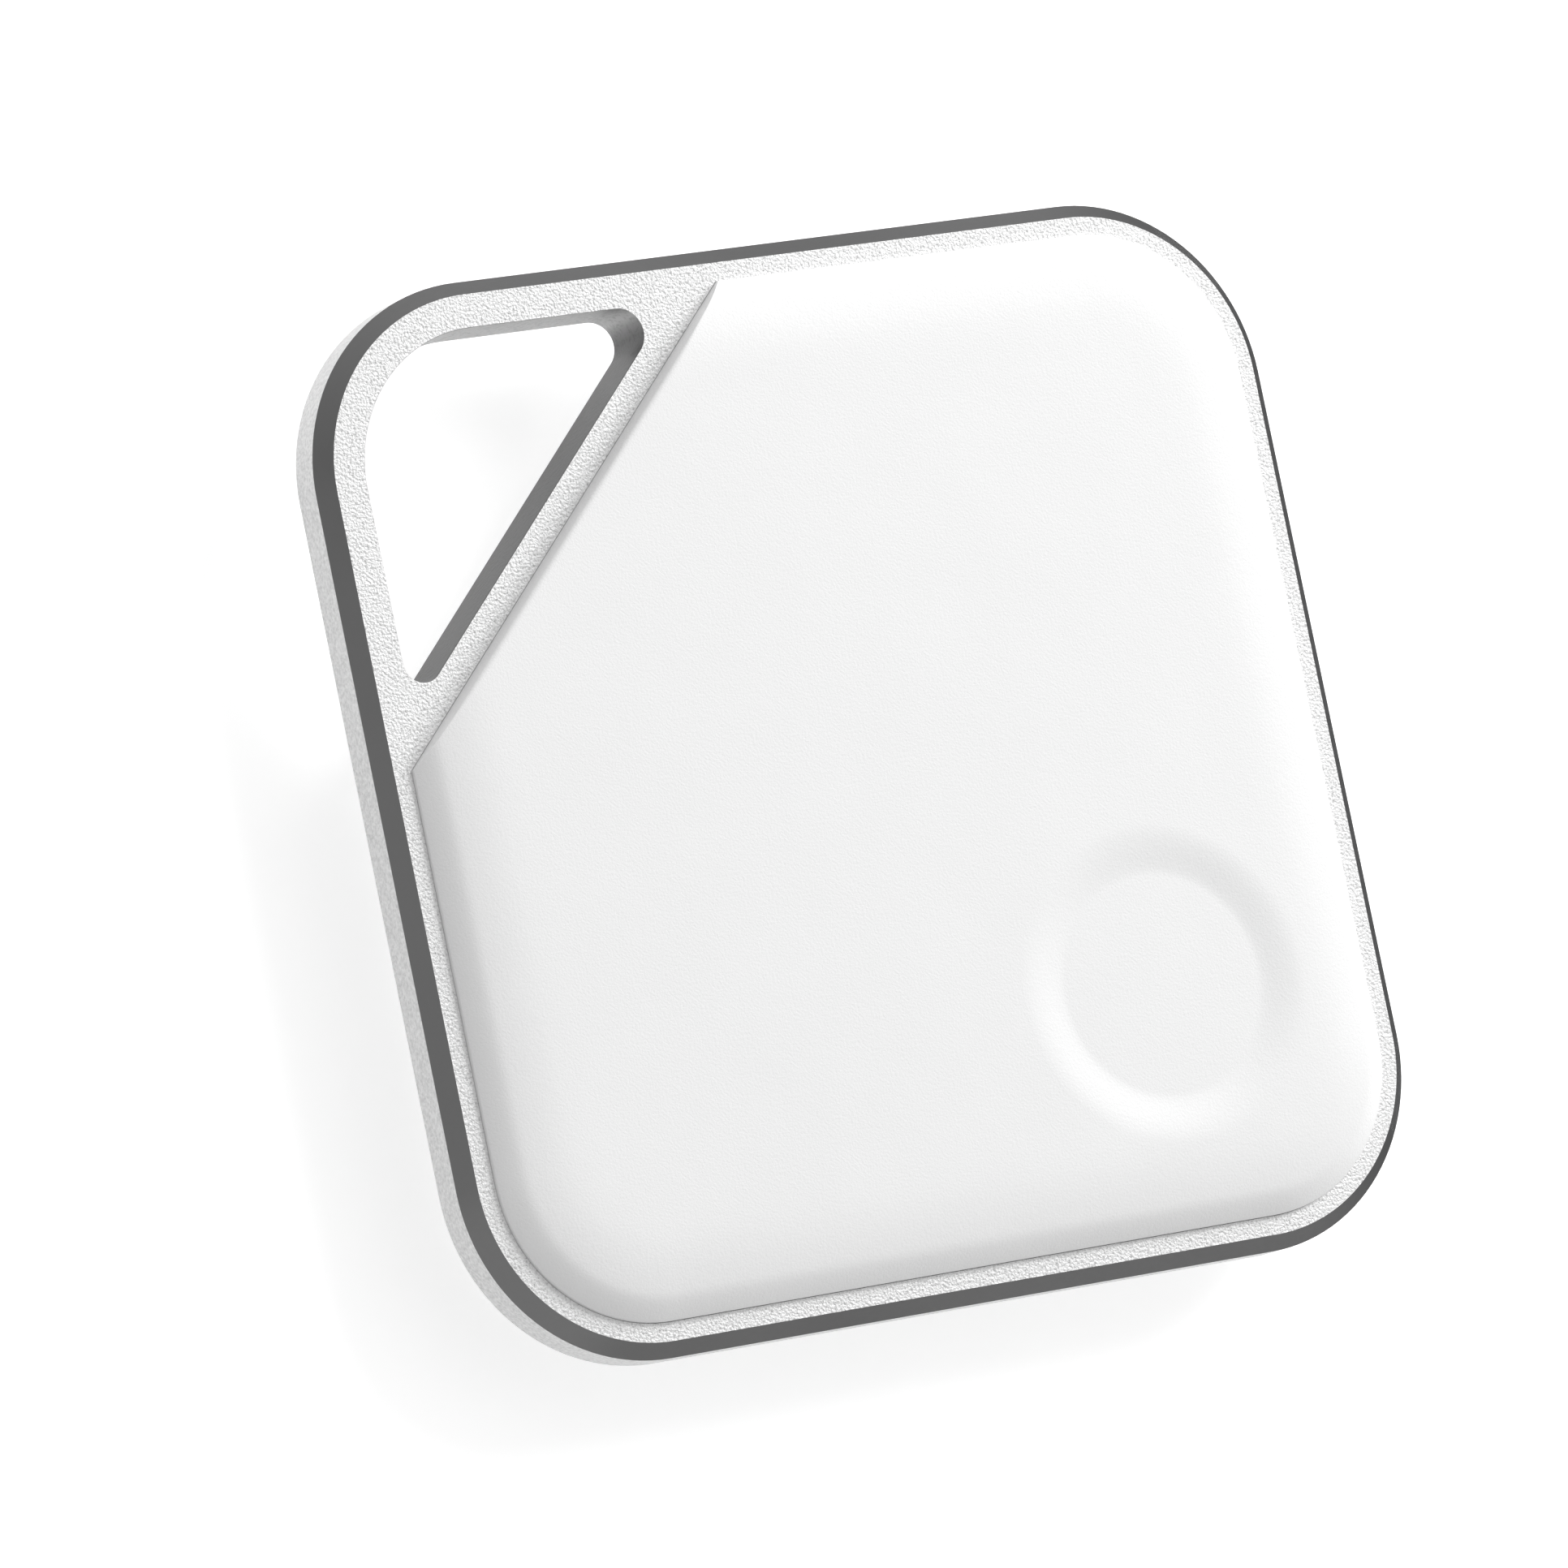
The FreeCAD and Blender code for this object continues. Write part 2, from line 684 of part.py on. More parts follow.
# ---------------------------------------------------------------- tactile switch
def tactile_switch():
    case = box("SwitchCase", *BUTTON, BOARD_TOP, "switch_side", "switch_side", "switch_height")
    well = cylinder("SwitchWell", *BUTTON, add(BOARD_TOP, "switch_floor"), "switch_well",
                    less("switch_height", "switch_floor", "switch_lid"))
    throat = cylinder("SwitchThroat", *BUTTON, add(BOARD_TOP, "switch_floor"),
                      add("plunger_radius", "plunger_fit"), "switch_height")
    node("switch_body", cut("SwitchBody", case, well, throat))
    plunger_under = add(BOARD_TOP, "switch_floor", "press_travel", "plunger_spare")
    node("switch_plunger", cylinder("SwitchPlunger", *BUTTON, plunger_under, "plunger_radius",
                                    less(PLUNGER_TOP, plunger_under)))
    floor = add(BOARD_TOP, "switch_floor")
    shell = cone("DomeOuter", *BUTTON, floor, "dome_radius", "dome_radius / 2", "dome_height")
    under = cone("DomeInner", *BUTTON, floor, "dome_radius - dome_thickness",
                 "dome_radius / 2 - dome_thickness", "dome_height - dome_thickness")
    node("switch_dome", cut("SwitchDome", shell, under))


# ---------------------------------------------------------------- buzzer
def buzzer():
    out = along_diagonal(less("diagonal_reach", "skirt_wall", "buzzer_radius", "buzzer_margin"))
    where = (f"-({out})", out)
    ring_under = less(COVER_UNDER, "buzzer_ring_thickness")
    outer = cylinder("FoamOuter", *where, ring_under, "buzzer_radius", "buzzer_ring_thickness")
    eye = cylinder("FoamEye", *where, ring_under, less("buzzer_radius", "buzzer_ring_width"),
                   "buzzer_ring_thickness")
    node("buzzer_ring", cut("BuzzerRing", outer, eye))
    plate_under = less(ring_under, "brass_thickness")
    node("buzzer_plate", cylinder("BuzzerPlate", *where, plate_under, "buzzer_radius",
                                  "brass_thickness"))
    ceramic_under = less(plate_under, "ceramic_thickness")
    node("buzzer_ceramic", cylinder("BuzzerCeramic", *where, ceramic_under, "ceramic_radius",
                                    "ceramic_thickness"))
    ceramic_finger = box("CeramicFinger", *where, BOARD_TOP, "3 * finger_width", "finger_width",
                         less(ceramic_under, BOARD_TOP))
    plate_finger = box("PlateFinger", add(where[0], "(buzzer_radius + ceramic_radius) / 2"),
                       where[1], BOARD_TOP, "finger_width", "3 * finger_width",
                       less(plate_under, BOARD_TOP))
    node("buzzer_contacts", group("BuzzerContacts", ceramic_finger, plate_finger))


# ---------------------------------------------------------------- parts on the board
def on_board(name, x, y, length, width, height):
    return box(name, x, y, BOARD_TOP, length, width, height)


def board_parts():
    node("bluetooth_chip", on_board("Chip", "chip_x", "chip_y", "chip_side", "chip_side",
                                    "chip_height"))
    beside = add("chip_x", "chip_side / 2", "small_pitch", "crystal_length / 2")
    slow = add("chip_y", "crystal_width", "small_pitch")
    crystals = [on_board("FastCrystal", beside, "chip_y", "crystal_length", "crystal_width",
                         "crystal_height"),
                on_board("SlowCrystal", beside, slow, "crystal_length", "crystal_width / 2",
                         "crystal_height")]
    node("crystals", group("Crystals", *crystals))
    edge = less(BOARD_HALF, "antenna_from_edge", "antenna_width / 2")
    node("chip_antenna", on_board("Antenna", "chip_x - chip_side", edge, "antenna_length",
                                  "antenna_width", "antenna_height"))
    row_y = "-chip_y - chip_side / 2"
    node("boost_inductor", on_board("Inductor", "-button_offset - inductor_side", row_y,
                                    "inductor_side", "inductor_side", "inductor_height"))
    capacitors = []
    for number in range(5):
        y = add("chip_y", "-chip_side / 2", f"small_pitch * {number}")
        capacitors.append(on_board(f"CapacitorA{number + 1}", less("chip_x", "chip_side", "-small_length"),
                                   y, "small_length", "small_width", "small_height"))
    node("chip_capacitors", group("ChipCapacitors", *capacitors))
    resistors = []
    for number in range(4):
        x = add("-button_offset", f"2 * small_pitch * {number}")
        resistors.append(on_board(f"Resistor{number + 1}", x, row_y, "small_length", "small_width",
                                  "small_height"))
    node("chip_resistors", group("ChipResistors", *resistors))


# ---------------------------------------------------------------- build, check and write
frame()
node("front_gasket", ring("FrontGasket", LEDGE_TOP))
front_cover()
button_web()
button_pad()
node("rear_gasket", ring("RearGasket", less(LEDGE_UNDER, "gasket_thickness")))
rear_cover()
battery_door()
coin_cell()
circuit_board()
insulating_film()
positive_contact()
negative_contact()
tactile_switch()
buzzer()
board_parts()
doc.recompute()

for item in doc.Objects:
    if "Invalid" in item.State or "Error" in item.State:
        raise RuntimeError(f"{item.Label} failed: {item.State}")
for item in NODES:
    if item.Shape.isNull() or not item.Shape.isValid() or not item.Shape.Solids:
        raise RuntimeError(f"{item.Label} has no valid solid")

os.makedirs("parts", exist_ok=True)
for item in NODES:
    item.Shape.exportStep(os.path.join("parts", item.Label + ".step"))
print(len(NODES), "nodes written")
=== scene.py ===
import math

import bmesh
import bpy
from mathutils import Matrix, Vector
from mathutils.geometry import delaunay_2d_cdt


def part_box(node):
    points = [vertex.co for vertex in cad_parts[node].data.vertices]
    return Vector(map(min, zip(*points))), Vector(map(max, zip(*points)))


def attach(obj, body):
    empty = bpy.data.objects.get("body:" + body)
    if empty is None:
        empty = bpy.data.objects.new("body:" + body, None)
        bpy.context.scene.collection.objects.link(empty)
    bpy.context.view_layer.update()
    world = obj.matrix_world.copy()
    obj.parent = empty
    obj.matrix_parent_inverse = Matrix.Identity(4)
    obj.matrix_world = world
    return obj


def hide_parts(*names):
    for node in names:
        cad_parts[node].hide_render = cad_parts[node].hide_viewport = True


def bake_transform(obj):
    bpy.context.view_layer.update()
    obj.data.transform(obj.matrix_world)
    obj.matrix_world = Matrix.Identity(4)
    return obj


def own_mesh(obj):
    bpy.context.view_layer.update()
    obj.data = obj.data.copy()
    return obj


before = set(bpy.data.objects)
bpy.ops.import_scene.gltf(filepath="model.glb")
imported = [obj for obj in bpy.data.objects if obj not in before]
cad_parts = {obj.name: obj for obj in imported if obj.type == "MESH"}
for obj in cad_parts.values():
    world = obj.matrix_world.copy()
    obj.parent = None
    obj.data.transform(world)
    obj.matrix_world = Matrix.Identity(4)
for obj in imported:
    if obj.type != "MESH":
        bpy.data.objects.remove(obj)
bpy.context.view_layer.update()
MM = 0.001

# ------------------------------------------------------------------ sizes, read from the frame
FRAME_LOW, FRAME_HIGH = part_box("frame")
PAD_LOW, PAD_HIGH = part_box("button_pad")
DOME_LOW, DOME_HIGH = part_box("switch_dome")

HALF = FRAME_HIGH[0]                    # half the frame's side
REAR_RIM = FRAME_LOW[2]                 # the frame's rear face
FRONT_RIM = FRAME_HIGH[2]               # the frame's front face
LEDGE_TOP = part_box("front_gasket")[0][2]
LEDGE_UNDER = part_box("rear_gasket")[1][2]
COVER_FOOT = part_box("front_gasket")[1][2]
COVER_UNDER, TOP = (corner[2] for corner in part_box("button_web"))   # the front cover's two faces
BUTTON_X = (PAD_LOW[0] + PAD_HIGH[0]) / 2
BUTTON_Y = (PAD_LOW[1] + PAD_HIGH[1]) / 2
BUTTON_UNDER = PAD_LOW[2]               # the tip of the nib that meets the switch

# ------------------------------------------------------------------ sizes that the looks add
ROOT = math.sqrt(0.5)                   # what a unit along the diagonal is in X, or in Y
# the metal frame
CORNER = 7.56 * MM                      # its outer corner radius
BEVEL_IN, BEVEL_DEEP = 0.594 * MM, 0.65 * MM           # the dark bevel in front
REAR_BEVEL = 0.45 * MM
LOOP_WALL = 1.9 * MM                    # the metal round the outside of the keyring hole
WEB = 1.13 * MM                         # the metal between the hole and the cover
END_RADIUS, TIP_RADIUS = 1.0 * MM, 0.8 * MM            # the hole's upper and lower corners
LEDGE_WIDTH = 1.4 * MM
SEAM = 0.004 * MM                       # gap between the frame and a cover
SMALL = 0.02 * MM                       # a barely broken metal edge
# the front cover
RIM = 1.35 * MM                         # frame edge to cover edge
REACH = 15.7 * MM                       # middle to the cover's slanted edge, square to it
SKIRT = 1.2 * MM
ROLL_IN, ROLL_DEEP, ROLL_POWER = 3.9 * MM, 0.56 * MM, 2.5              # its long rolled edge
SHOULDER_IN, SHOULDER_DEEP, SHOULDER_POWER = 0.95 * MM, 0.36 * MM, 1.6  # steeper at the edge's foot
SLANT_IN, SLANT_DEEP = 0.20 * MM, 0.16 * MM            # its tight roll along the slant
EDGE_POWER = 5                          # how sharply the two rolls meet
RINGS_IN = 3.0 * MM                     # how far in its rows of faces follow the outline
GRID = 0.7 * MM                         # spacing of the points over its middle
# the button
DISC_RADIUS, DISC_DROP = 4.35 * MM, 0.21 * MM          # its flat, sunk disc
SLOPE_RADIUS = 6.3 * MM                 # where the slope round the disc meets the cover
SLOPE_BIAS = 0.8                        # below 1, the slope is steeper near the disc
PATCH_RADIUS = 6.5 * MM                 # the flexible skin over both
SKIN = 0.3 * MM                         # how thick the skin is
NIB_RADIUS, NIB_LENGTH = 1.2 * MM, 0.06 * MM
BROKEN = 0.1 * MM                       # the core's broken edges
# the switch's spring disc
DOME_THICK = 0.04 * MM
# how finely rows are divided
SIDE_STEPS, BEND_STEPS, SLANT_STEPS = 20, 28, 72
ROLL_STEPS, PATCH_STEPS, SKIN_STEPS = 20, 160, 60
CORE_STEPS, DOME_STEPS = 96, 16         # round the core and dome, and out along the dome
# light and camera
TOWARD_KEY = Vector((0.66, 0.48, 0.57)).normalized()   # from above the tag's upper right
TOWARD_CARD = Vector((-0.72, -0.64, 0.28)).normalized()
DARK_SKY, BRIGHT_SKY = 0.03, 0.91       # the studio away from the key light, and round it
FLOOR_GLOW = 0.42
VIEW_TURN, VIEW_RISE, VIEW_ROLL = -28.630, -5.394, -11.555             # degrees
VIEW_DISTANCE = 451.8 * MM
VIEW_AIM = Vector((-4.045 * MM, -0.051 * MM, FRONT_RIM))
LENS, SENSOR = 269.86, 36               # in mm, as the camera takes them


# ------------------------------------------------------------------ outlines
def run(start, end, steps, eased=False):
    """Points from start up to, but not including, end; eased crowds them at both ends."""
    points = []
    for step in range(steps):
        share = step / steps
        if eased:
            share = (1 - math.cos(math.pi * share)) / 2
        points.append((start[0] + (end[0] - start[0]) * share,
                       start[1] + (end[1] - start[1]) * share))
    return points


def bend(cx, cy, radius, first, last, steps=BEND_STEPS):
    """Points along an arc, in degrees, up to but not including its end."""
    points = []
    for step in range(steps):
        turn = math.radians(first + (last - first) * step / steps)
        points.append((cx + radius * math.cos(turn), cy + radius * math.sin(turn)))
    return points


def square(inset):
    """The frame's outline, inset."""
    half, radius = HALF - inset, CORNER - inset
    mid = half - radius
    return (run((-mid, -half), (mid, -half), SIDE_STEPS) + bend(mid, -mid, radius, -90, 0)
            + run((half, -mid), (half, mid), SIDE_STEPS) + bend(mid, mid, radius, 0, 90)
            + run((mid, half), (-mid, half), SIDE_STEPS) + bend(-mid, mid, radius, 90, 180)
            + run((-half, mid), (-half, -mid), SIDE_STEPS) + bend(-mid, -mid, radius, 180, 270))


def notched(inset):
    """A cover's outline, inset: the square with its keyring corner cut off."""
    half, radius, rise = HALF - RIM - inset, CORNER - RIM - inset, (REACH - inset) / ROOT
    mid = half - radius
    upper, lower = (half - rise, half), (-half, rise - half)
    return (run((-mid, -half), (mid, -half), SIDE_STEPS) + bend(mid, -mid, radius, -90, 0)
            + run((half, -mid), (half, mid), SIDE_STEPS) + bend(mid, mid, radius, 0, 90)
            + run((mid, half), upper, SIDE_STEPS, eased=True)
            + run(upper, lower, SLANT_STEPS, eased=True)
            + run(lower, (-half, -mid), SIDE_STEPS, eased=True)
            + bend(-mid, -mid, radius, 180, 270))


def loop_hole(grow):
    """The keyring hole's outline, grown."""
    half, radius = HALF - LOOP_WALL + grow, CORNER - LOOP_WALL + grow
    mid = half - radius
    rise = (REACH + WEB - grow) / ROOT
    end, tip = END_RADIUS + grow, TIP_RADIUS + grow
    lean = math.tan(math.radians(22.5))
    end_x, end_y = half - rise - end / lean, half - end
    tip_x, tip_y = -half + tip, rise - half + tip / lean
    return (run((end_x, half), (-mid, half), SIDE_STEPS)
            + bend(-mid, mid, radius, 90, 180)
            + run((-half, mid), (-half, tip_y), SIDE_STEPS)
            + bend(tip_x, tip_y, tip, 180, 315)
            + run((tip_x + tip * ROOT, tip_y - tip * ROOT), (end_x + end * ROOT, end_y - end * ROOT),
                  SIDE_STEPS)
            + bend(end_x, end_y, end, -45, 90))


def circle(radius, steps=PATCH_STEPS):
    """A circle about the button's axis."""
    return [(BUTTON_X + x, BUTTON_Y + y) for x, y in bend(0, 0, radius, 0, 360, steps)]


# ------------------------------------------------------------------ mesh building
def ring(bm, points, level):
    """A closed row of vertices; level is one height or a function of the place."""
    lift = level if callable(level) else lambda x, y: level
    return [bm.verts.new((x, y, lift(x, y))) for x, y in points]


def join(bm, first, second, paint=0):
    """Quads between two rows of the same length, with that material index."""
    count = len(first)
    for index in range(count):
        after = (index + 1) % count
        face = bm.faces.new((first[index], first[after], second[after], second[index]))
        face.material_index = paint


def fill(bm, rows, paint=0):
    """A flat face bounded by closed rows, the outer one and any holes."""
    edges = []
    for row in rows:
        for index, vert in enumerate(row):
            pair = (vert, row[(index + 1) % len(row)])
            edges.append(bm.edges.get(pair) or bm.edges.new(pair))
    made = bmesh.ops.triangle_fill(bm, edges=edges, use_beauty=True)
    for item in made["geom"]:
        if isinstance(item, bmesh.types.BMFace):
            item.material_index = paint


def drape(bm, outer, hole, level):
    """Triangles from a closed row in to the circle of another, over a grid of points between."""
    rim = len(outer)
    flat = [(vert.co.x, vert.co.y) for vert in outer + hole]
    loops = [(index, (index + 1) % rim) for index in range(rim)]
    loops += [(rim + index, rim + (index + 1) % len(hole)) for index in range(len(hole))]
    count = int(HALF / GRID)
    margin = GRID / 3
    for column in range(-count, count + 1):
        for row in range(-count, count + 1):
            x, y = (column + row % 2 / 2) * GRID, row * GRID
            clear = math.hypot(x - BUTTON_X, y - BUTTON_Y) > PATCH_RADIUS + margin
            if clear and edge_inset(x, y) > RINGS_IN + margin:
                flat.append((x, y))
    points = [Vector(point) for point in flat]
    spots, _, faces, sources, _, _ = delaunay_2d_cdt(points, loops, [], 1, 1e-7)
    known = outer + hole
    verts = []
    for spot, source in zip(spots, sources):
        first = min(source) if source else len(known)
        verts.append(known[first] if first < len(known)
                     else bm.verts.new((spot.x, spot.y, level(spot.x, spot.y))))
    for face in faces:
        middle = sum((spots[index] for index in face), Vector((0, 0))) / len(face)
        if math.hypot(middle.x - BUTTON_X, middle.y - BUTTON_Y) > PATCH_RADIUS:
            bm.faces.new([verts[index] for index in face])


def lathe(bm, profile, steps=PATCH_STEPS):
    """Rings about the button's axis from (radius, height) pairs; a radius of 0 closes an end.

    A height may be a function of the place.
    """
    rows = []
    for radius, height in profile:
        if radius == 0:
            level = height(BUTTON_X, BUTTON_Y) if callable(height) else height
            rows.append([bm.verts.new((BUTTON_X, BUTTON_Y, level))])
        else:
            rows.append(ring(bm, circle(radius, steps), height))
    for first, second in zip(rows, rows[1:]):
        if len(first) > 1 and len(second) > 1:
            join(bm, first, second)
            continue
        tip, row = (first[0], second) if len(first) == 1 else (second[0], first)
        for index, vert in enumerate(row):
            bm.faces.new((tip, vert, row[(index + 1) % len(row)]))


def make_piece(name, bm, materials, sharp=30):
    """Make the object, with smooth shading that breaks at sharp edges."""
    bmesh.ops.recalc_face_normals(bm, faces=bm.faces)
    mesh = bpy.data.meshes.new(name)
    for material in materials:
        mesh.materials.append(material)
    bm.to_mesh(mesh)
    bm.free()
    mesh.shade_smooth()
    mesh.set_sharp_from_angle(angle=math.radians(sharp))
    piece = bpy.data.objects.new(name, mesh)
    bpy.context.scene.collection.objects.link(piece)
    return piece


# ------------------------------------------------------------------ materials
class Finish:
    """A node material whose nodes are added one at a time."""

    def __init__(self, name, roughness, metallic=0.0):
        self.material = bpy.data.materials.new(name)
        self.material.use_nodes = True
        self.tree = self.material.node_tree
        self.shader = self.tree.nodes["Principled BSDF"]
        self.shader.inputs["Roughness"].default_value = roughness
        self.shader.inputs["Metallic"].default_value = metallic
        self.place = self.tree.nodes.new("ShaderNodeTexCoord").outputs["Object"]
        self.normal = None

    def link(self, output, socket):
        """Join a node's output to a socket."""
        self.tree.links.new(output, socket)

    def noise(self, size, detail=2.0, rough=0.5):
        """Noise whose features are about size across, in metres."""
        node = self.tree.nodes.new("ShaderNodeTexNoise")
        node.inputs["Scale"].default_value = 1 / size
        node.inputs["Detail"].default_value = detail
        node.inputs["Roughness"].default_value = rough
        self.link(self.place, node.inputs["Vector"])
        return node.outputs["Fac"]

    def ramp(self, value, stops):
        """Colours or greys by value; stops are (place, grey or colour)."""
        node = self.tree.nodes.new("ShaderNodeValToRGB")
        elements = node.color_ramp.elements
        while len(elements) < len(stops):
            elements.new(0.5)
        for element, (where, tone) in zip(elements, stops):
            element.position = where
            rgb = (tone, tone, tone) if isinstance(tone, float) else tone
            element.color = (*rgb, 1.0)
        self.link(value, node.inputs["Fac"])
        return node.outputs["Color"]

    def shade(self, first, second):
        """Two colours multiplied."""
        node = self.tree.nodes.new("ShaderNodeMix")
        node.data_type = "RGBA"
        node.blend_type = "MULTIPLY"
        node.inputs["Factor"].default_value = 1
        self.link(first, node.inputs[6])
        self.link(second, node.inputs[7])
        return node.outputs[2]

    def color(self, output):
        """That output as the base colour."""
        self.link(output, self.shader.inputs["Base Color"])

    def rough(self, value, low, high):
        """Roughness that runs from low to high with a value."""
        node = self.tree.nodes.new("ShaderNodeMapRange")
        node.inputs["To Min"].default_value = low
        node.inputs["To Max"].default_value = high
        self.link(value, node.inputs["Value"])
        self.link(node.outputs["Result"], self.shader.inputs["Roughness"])

    def bump(self, value, height):
        """Relief of that height in metres; a second call adds to the first."""
        node = self.tree.nodes.new("ShaderNodeBump")
        node.inputs["Distance"].default_value = height
        node.inputs["Strength"].default_value = 1.0
        self.link(value, node.inputs["Height"])
        if self.normal is not None:
            self.link(self.normal, node.inputs["Normal"])
        self.normal = node.outputs["Normal"]
        self.link(self.normal, self.shader.inputs["Normal"])


def scaled(tone, share):
    """A colour made lighter or darker."""
    return tuple(max(0.0, min(1.0, channel * share)) for channel in tone)


def blasted_metal():
    """Bead-blasted silver: pale, with a sharp grain of tiny dark pits."""
    made = Finish("blasted_metal", 0.42, 0.15)
    grain = made.noise(0.11 * MM, 3.0, 0.6)
    made.color(made.ramp(grain, [(0.30, 0.50), (0.42, 0.76), (0.55, 0.85), (0.75, 0.91)]))
    made.rough(grain, 0.30, 0.55)
    made.bump(made.noise(0.11 * MM, 1.0), 0.060 * MM)
    made.bump(grain, 0.015 * MM)
    return made.material


def polished_dark():
    """The diamond-cut bevel: dark and smooth, with a faint ripple."""
    made = Finish("polished_bevel", 0.42, 1.0)
    broad = made.noise(9 * MM, 1.0)
    made.color(made.ramp(broad, [(0.25, 0.168), (0.75, 0.195)]))
    made.shader.inputs["Specular Tint"].default_value = (0.12, 0.12, 0.125, 1)
    fine = made.noise(0.25 * MM, 2.0)
    made.rough(fine, 0.40, 0.50)
    made.bump(fine, 0.002 * MM)
    return made.material


def side_metal():
    """The frame's side wall: light satin grey, with a flatter grain than the rim."""
    made = Finish("side_metal", 0.5, 0.3)
    grain = made.noise(0.13 * MM, 2.0)
    made.color(made.ramp(grain, [(0.25, 0.56), (0.5, 0.70), (0.8, 0.84)]))
    made.rough(grain, 0.42, 0.60)
    made.bump(grain, 0.012 * MM)
    return made.material


def hole_metal_painted_shade():
    """The keyring hole's walls: light metal with painted shade, darker where they face up and to the
    left, away from the cover and the key light.
    """
    made = Finish("hole_metal_painted_shade", 0.45, 0.4)
    # Painted shade: the base colour darkens as a wall's normal turns up and to the left, away from
    # the key light.
    facing = made.tree.nodes.new("ShaderNodeVectorMath")
    facing.operation = "DOT_PRODUCT"
    facing.inputs[1].default_value = (-ROOT, ROOT, 0)
    made.link(made.tree.nodes["Texture Coordinate"].outputs["Normal"], facing.inputs[0])
    tone = made.ramp(facing.outputs["Value"], [(0.0, 0.58), (0.35, 0.30), (0.72, 0.13), (1.0, 0.115)])
    grain = made.noise(0.16 * MM, 3.0, 0.6)
    made.color(made.shade(tone, made.ramp(grain, [(0.28, 0.60), (0.5, 0.92), (0.75, 1.0)])))
    made.rough(grain, 0.35, 0.55)
    made.bump(grain, 0.020 * MM)
    return made.material


def white_plastic(name="white_plastic", tone=0.89):
    """Fine matte moulding whose grain varies a little in gloss."""
    made = Finish(name, 0.5)
    grain = made.noise(0.10 * MM, 2.0, 0.6)
    cloud = made.noise(4 * MM, 2.0)
    made.color(made.ramp(cloud, [(0.3, tone - 0.012), (0.7, tone)]))
    made.rough(grain, 0.40, 0.58)
    made.bump(grain, 0.012 * MM)
    made.bump(made.noise(0.45 * MM, 1.0), 0.004 * MM)
    return made.material


def inner_finish(name, tone, roughness, metallic=0.0, grain=0.15 * MM, relief=0.004 * MM):
    """A plain engineering finish with grain, for the pieces inside."""
    made = Finish(name, roughness, metallic)
    fine = made.noise(grain, 2.0)
    made.color(made.ramp(fine, [(0.25, scaled(tone, 0.86)), (0.75, scaled(tone, 1.06))]))
    spread = 0.08
    made.rough(fine, roughness - spread, roughness + spread)
    made.bump(fine, relief)
    return made.material


# ------------------------------------------------------------------ metal frame
def build_frame():
    """Outer wall with its bevels, inner wall with its ledge, keyring hole, and both faces."""
    bm = bmesh.new()
    blasted, bevel, side, light = range(4)
    outer = [ring(bm, square(BEVEL_IN), FRONT_RIM), ring(bm, square(0), FRONT_RIM - BEVEL_DEEP),
             ring(bm, square(0), REAR_RIM + REAR_BEVEL), ring(bm, square(REAR_BEVEL), REAR_RIM)]
    for first, second, paint in zip(outer, outer[1:], (bevel, side, bevel)):
        join(bm, first, second, paint)
    seat, shelf = -SEAM, LEDGE_WIDTH
    inner = [ring(bm, notched(inset), level) for inset, level in (
        (seat - SMALL, FRONT_RIM), (seat, FRONT_RIM - SMALL), (seat, LEDGE_TOP),
        (shelf, LEDGE_TOP), (shelf, LEDGE_UNDER), (seat, LEDGE_UNDER),
        (seat, REAR_RIM + SMALL), (seat - SMALL, REAR_RIM))]
    for first, second in zip(inner, inner[1:]):
        join(bm, first, second, light)
    hole = [ring(bm, loop_hole(grow), level) for grow, level in (
        (SMALL, FRONT_RIM), (0, FRONT_RIM - SMALL), (0, REAR_RIM + SMALL), (SMALL, REAR_RIM))]
    for first, second in zip(hole, hole[1:]):
        join(bm, first, second, light)
    fill(bm, (outer[0], inner[0], hole[0]), blasted)
    fill(bm, (outer[-1], inner[-1], hole[-1]), blasted)
    finishes = [blasted_metal(), polished_dark(), side_metal(), hole_metal_painted_shade()]
    piece = make_piece("metal_frame", bm, finishes)
    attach(piece, "case")
    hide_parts("frame")


# ------------------------------------------------------------------ front cover and button
def tight_drop(inset, reach, depth):
    """How far an elliptical rolled edge has fallen, this far in from its wall."""
    out = max(0.0, min(1.0, 1 - inset / reach))
    return depth * (1 - math.sqrt(1 - out * out))


def long_drop(inset, reach, depth, power):
    """The same for an edge that steepens steadily to its wall."""
    return depth * max(0.0, min(1.0, 1 - inset / reach)) ** power


def square_inset(x, y):
    """How far a place is in from the cover's outline, its cut corner left out."""
    half, radius = HALF - RIM, CORNER - RIM
    qx, qy = abs(x) - (half - radius), abs(y) - (half - radius)
    return radius - math.hypot(max(qx, 0), max(qy, 0)) - min(max(qx, qy), 0)


def slant_inset(x, y):
    """How far a place is in from the cover's slanted edge."""
    return REACH - (y - x) * ROOT


def edge_inset(x, y):
    """How far a place is in from the nearest edge of the cover."""
    return min(square_inset(x, y), slant_inset(x, y))


def cover_top(x, y):
    """The front cover's height at a place: nearly flat, with rolled edges."""
    inset = square_inset(x, y)
    soft = (long_drop(inset, ROLL_IN, ROLL_DEEP, ROLL_POWER)
            + long_drop(inset, SHOULDER_IN, SHOULDER_DEEP, SHOULDER_POWER))
    tight = tight_drop(slant_inset(x, y), SLANT_IN, SLANT_DEEP)
    return TOP - (soft ** EDGE_POWER + tight ** EDGE_POWER) ** (1 / EDGE_POWER)


